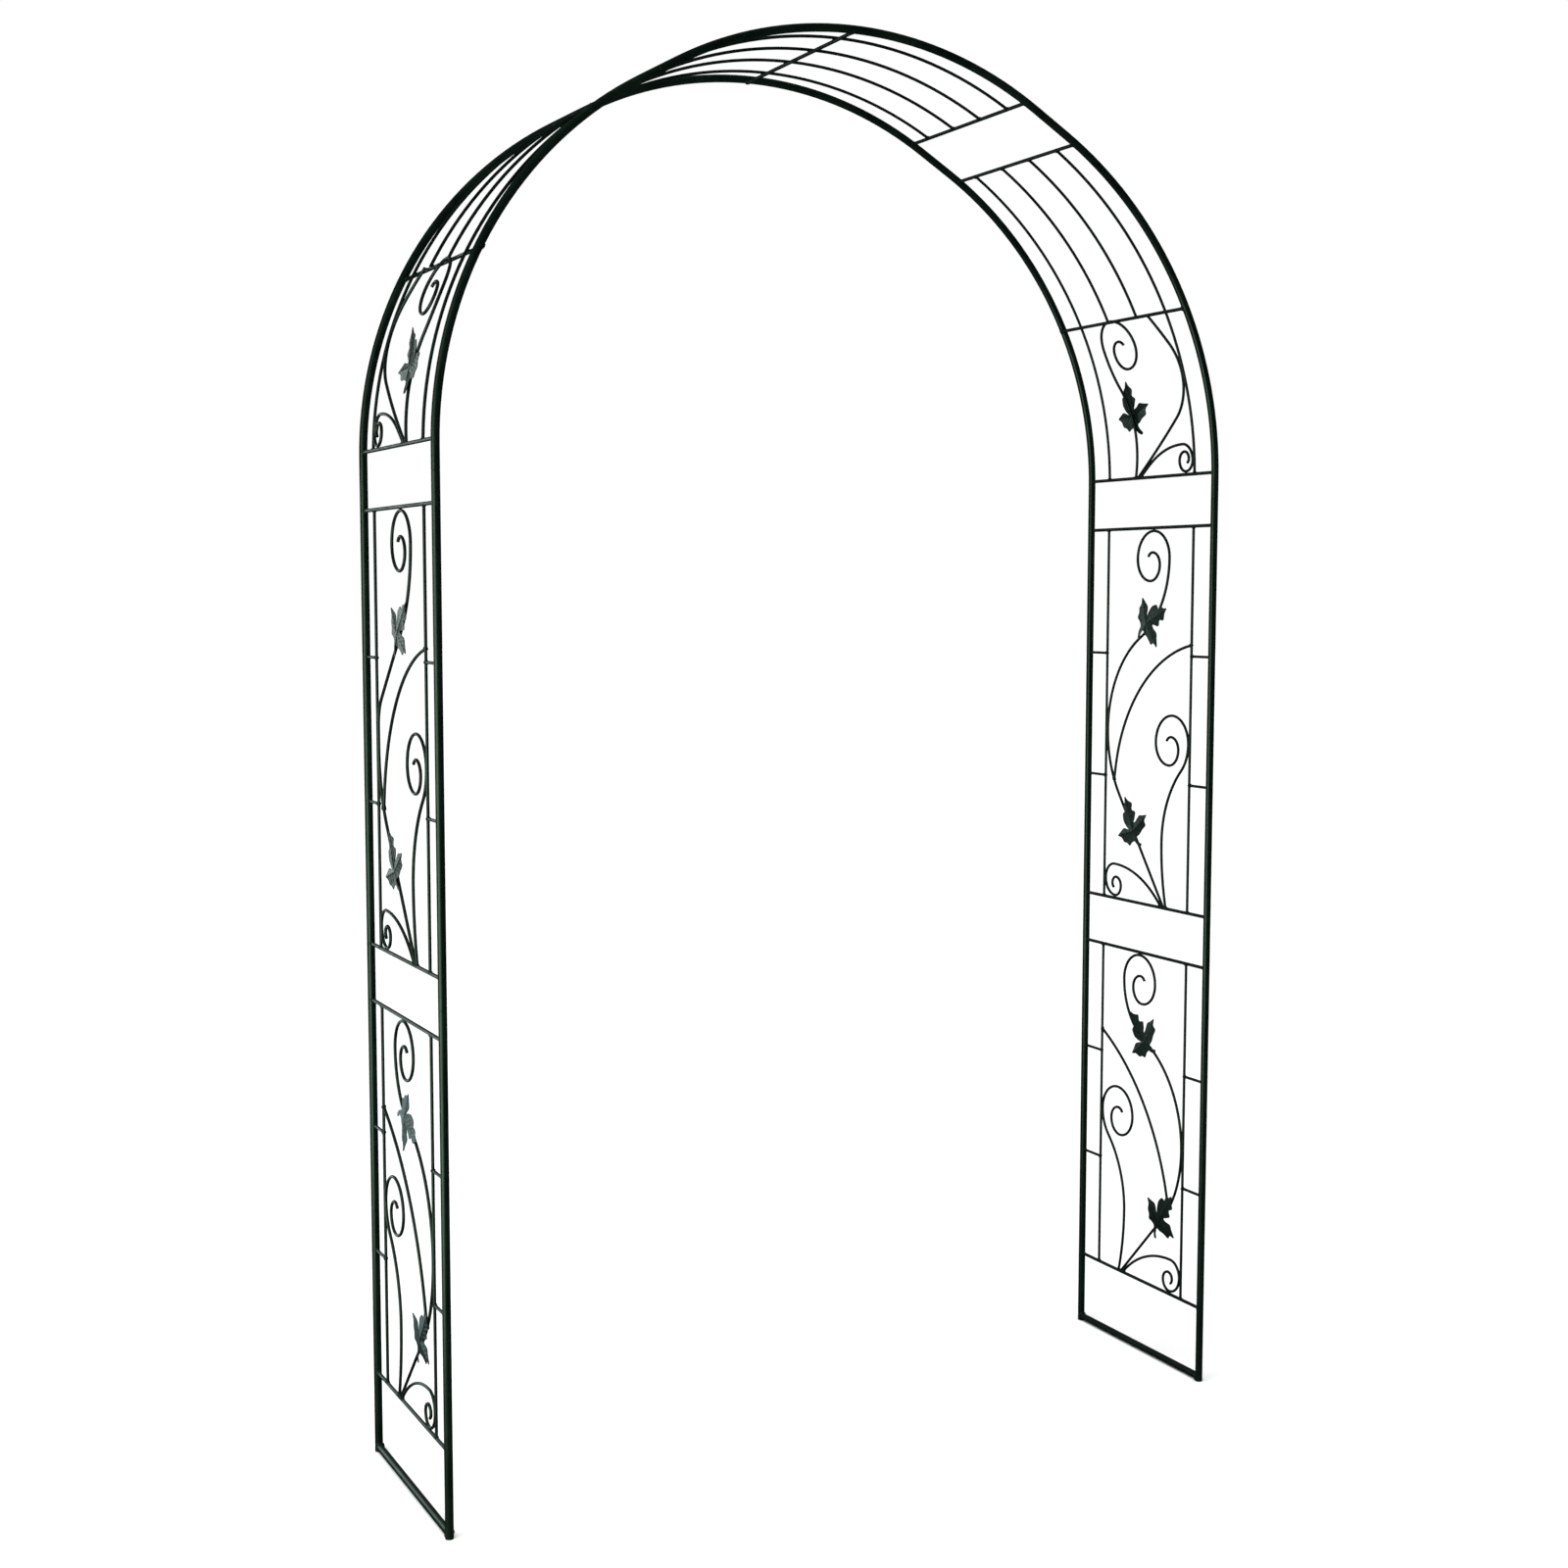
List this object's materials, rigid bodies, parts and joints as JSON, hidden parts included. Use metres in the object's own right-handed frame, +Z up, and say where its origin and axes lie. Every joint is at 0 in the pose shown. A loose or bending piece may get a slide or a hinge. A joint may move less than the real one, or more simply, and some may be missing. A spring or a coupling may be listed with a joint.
{
  "type": "metal trellis arch",
  "caption": "Free-standing garden arch: two round-topped tube hoops joined by rungs, scrolled wire trellis and pressed vine leaves.",
  "frame": {"origin": "on the ground at the middle of the footprint", "axes": "+Z up; X across the walk-through; Y through it, with the front hoop at -Y"},
  "size_m": [1.4, 0.4, 2.2999],
  "materials": {
    "hoop_tube": "powder-coated steel tube, very dark green, semi-gloss",
    "wirework": "powder-coated steel wire, very dark green, semi-gloss",
    "leaf_sheet": "powder-coated pressed steel sheet, very dark green, satin"
  },
  "bodies": {
    "root": {"arch_left_base_scroll": "wirework", "arch_left_bow": "wirework", "arch_left_front_tube": "hoop_tube", "arch_left_laths": "wirework", "arch_left_leaf": "leaf_sheet", "arch_left_rear_tube": "hoop_tube", "arch_left_rungs": "wirework", "arch_left_vine": "wirework", "arch_right_base_scroll": "wirework", "arch_right_bow": "wirework", "arch_right_front_tube": "hoop_tube", "arch_right_laths": "wirework", "arch_right_leaf": "leaf_sheet", "arch_right_rear_tube": "hoop_tube", "arch_right_rungs": "wirework", "arch_right_vine": "wirework", "crown_front_tube": "hoop_tube", "crown_laths": "wirework", "crown_rear_tube": "hoop_tube", "crown_rungs": "wirework", "lower_left_base_scroll": "wirework", "lower_left_branch": "wirework", "lower_left_crossbars": "wirework", "lower_left_front_tube": "hoop_tube", "lower_left_leaves": "leaf_sheet", "lower_left_rear_tube": "hoop_tube", "lower_left_side_scroll": "wirework", "lower_left_spacers": "wirework", "lower_left_uprights": "wirework", "lower_left_vine": "wirework", "lower_right_base_scroll": "wirework", "lower_right_branch": "wirework", "lower_right_crossbars": "wirework", "lower_right_front_tube": "hoop_tube", "lower_right_leaves": "leaf_sheet", "lower_right_rear_tube": "hoop_tube", "lower_right_side_scroll": "wirework", "lower_right_spacers": "wirework", "lower_right_uprights": "wirework", "lower_right_vine": "wirework", "middle_left_base_scroll": "wirework", "middle_left_branch": "wirework", "middle_left_front_tube": "hoop_tube", "middle_left_leaves": "leaf_sheet", "middle_left_rear_tube": "hoop_tube", "middle_left_rungs": "wirework", "middle_left_side_scroll": "wirework", "middle_left_spacers": "wirework", "middle_left_uprights": "wirework", "middle_left_vine": "wirework", "middle_right_base_scroll": "wirework", "middle_right_branch": "wirework", "middle_right_front_tube": "hoop_tube", "middle_right_leaves": "leaf_sheet", "middle_right_rear_tube": "hoop_tube", "middle_right_rungs": "wirework", "middle_right_side_scroll": "wirework", "middle_right_spacers": "wirework", "middle_right_uprights": "wirework", "middle_right_vine": "wirework"}
  },
  "joints": []
}
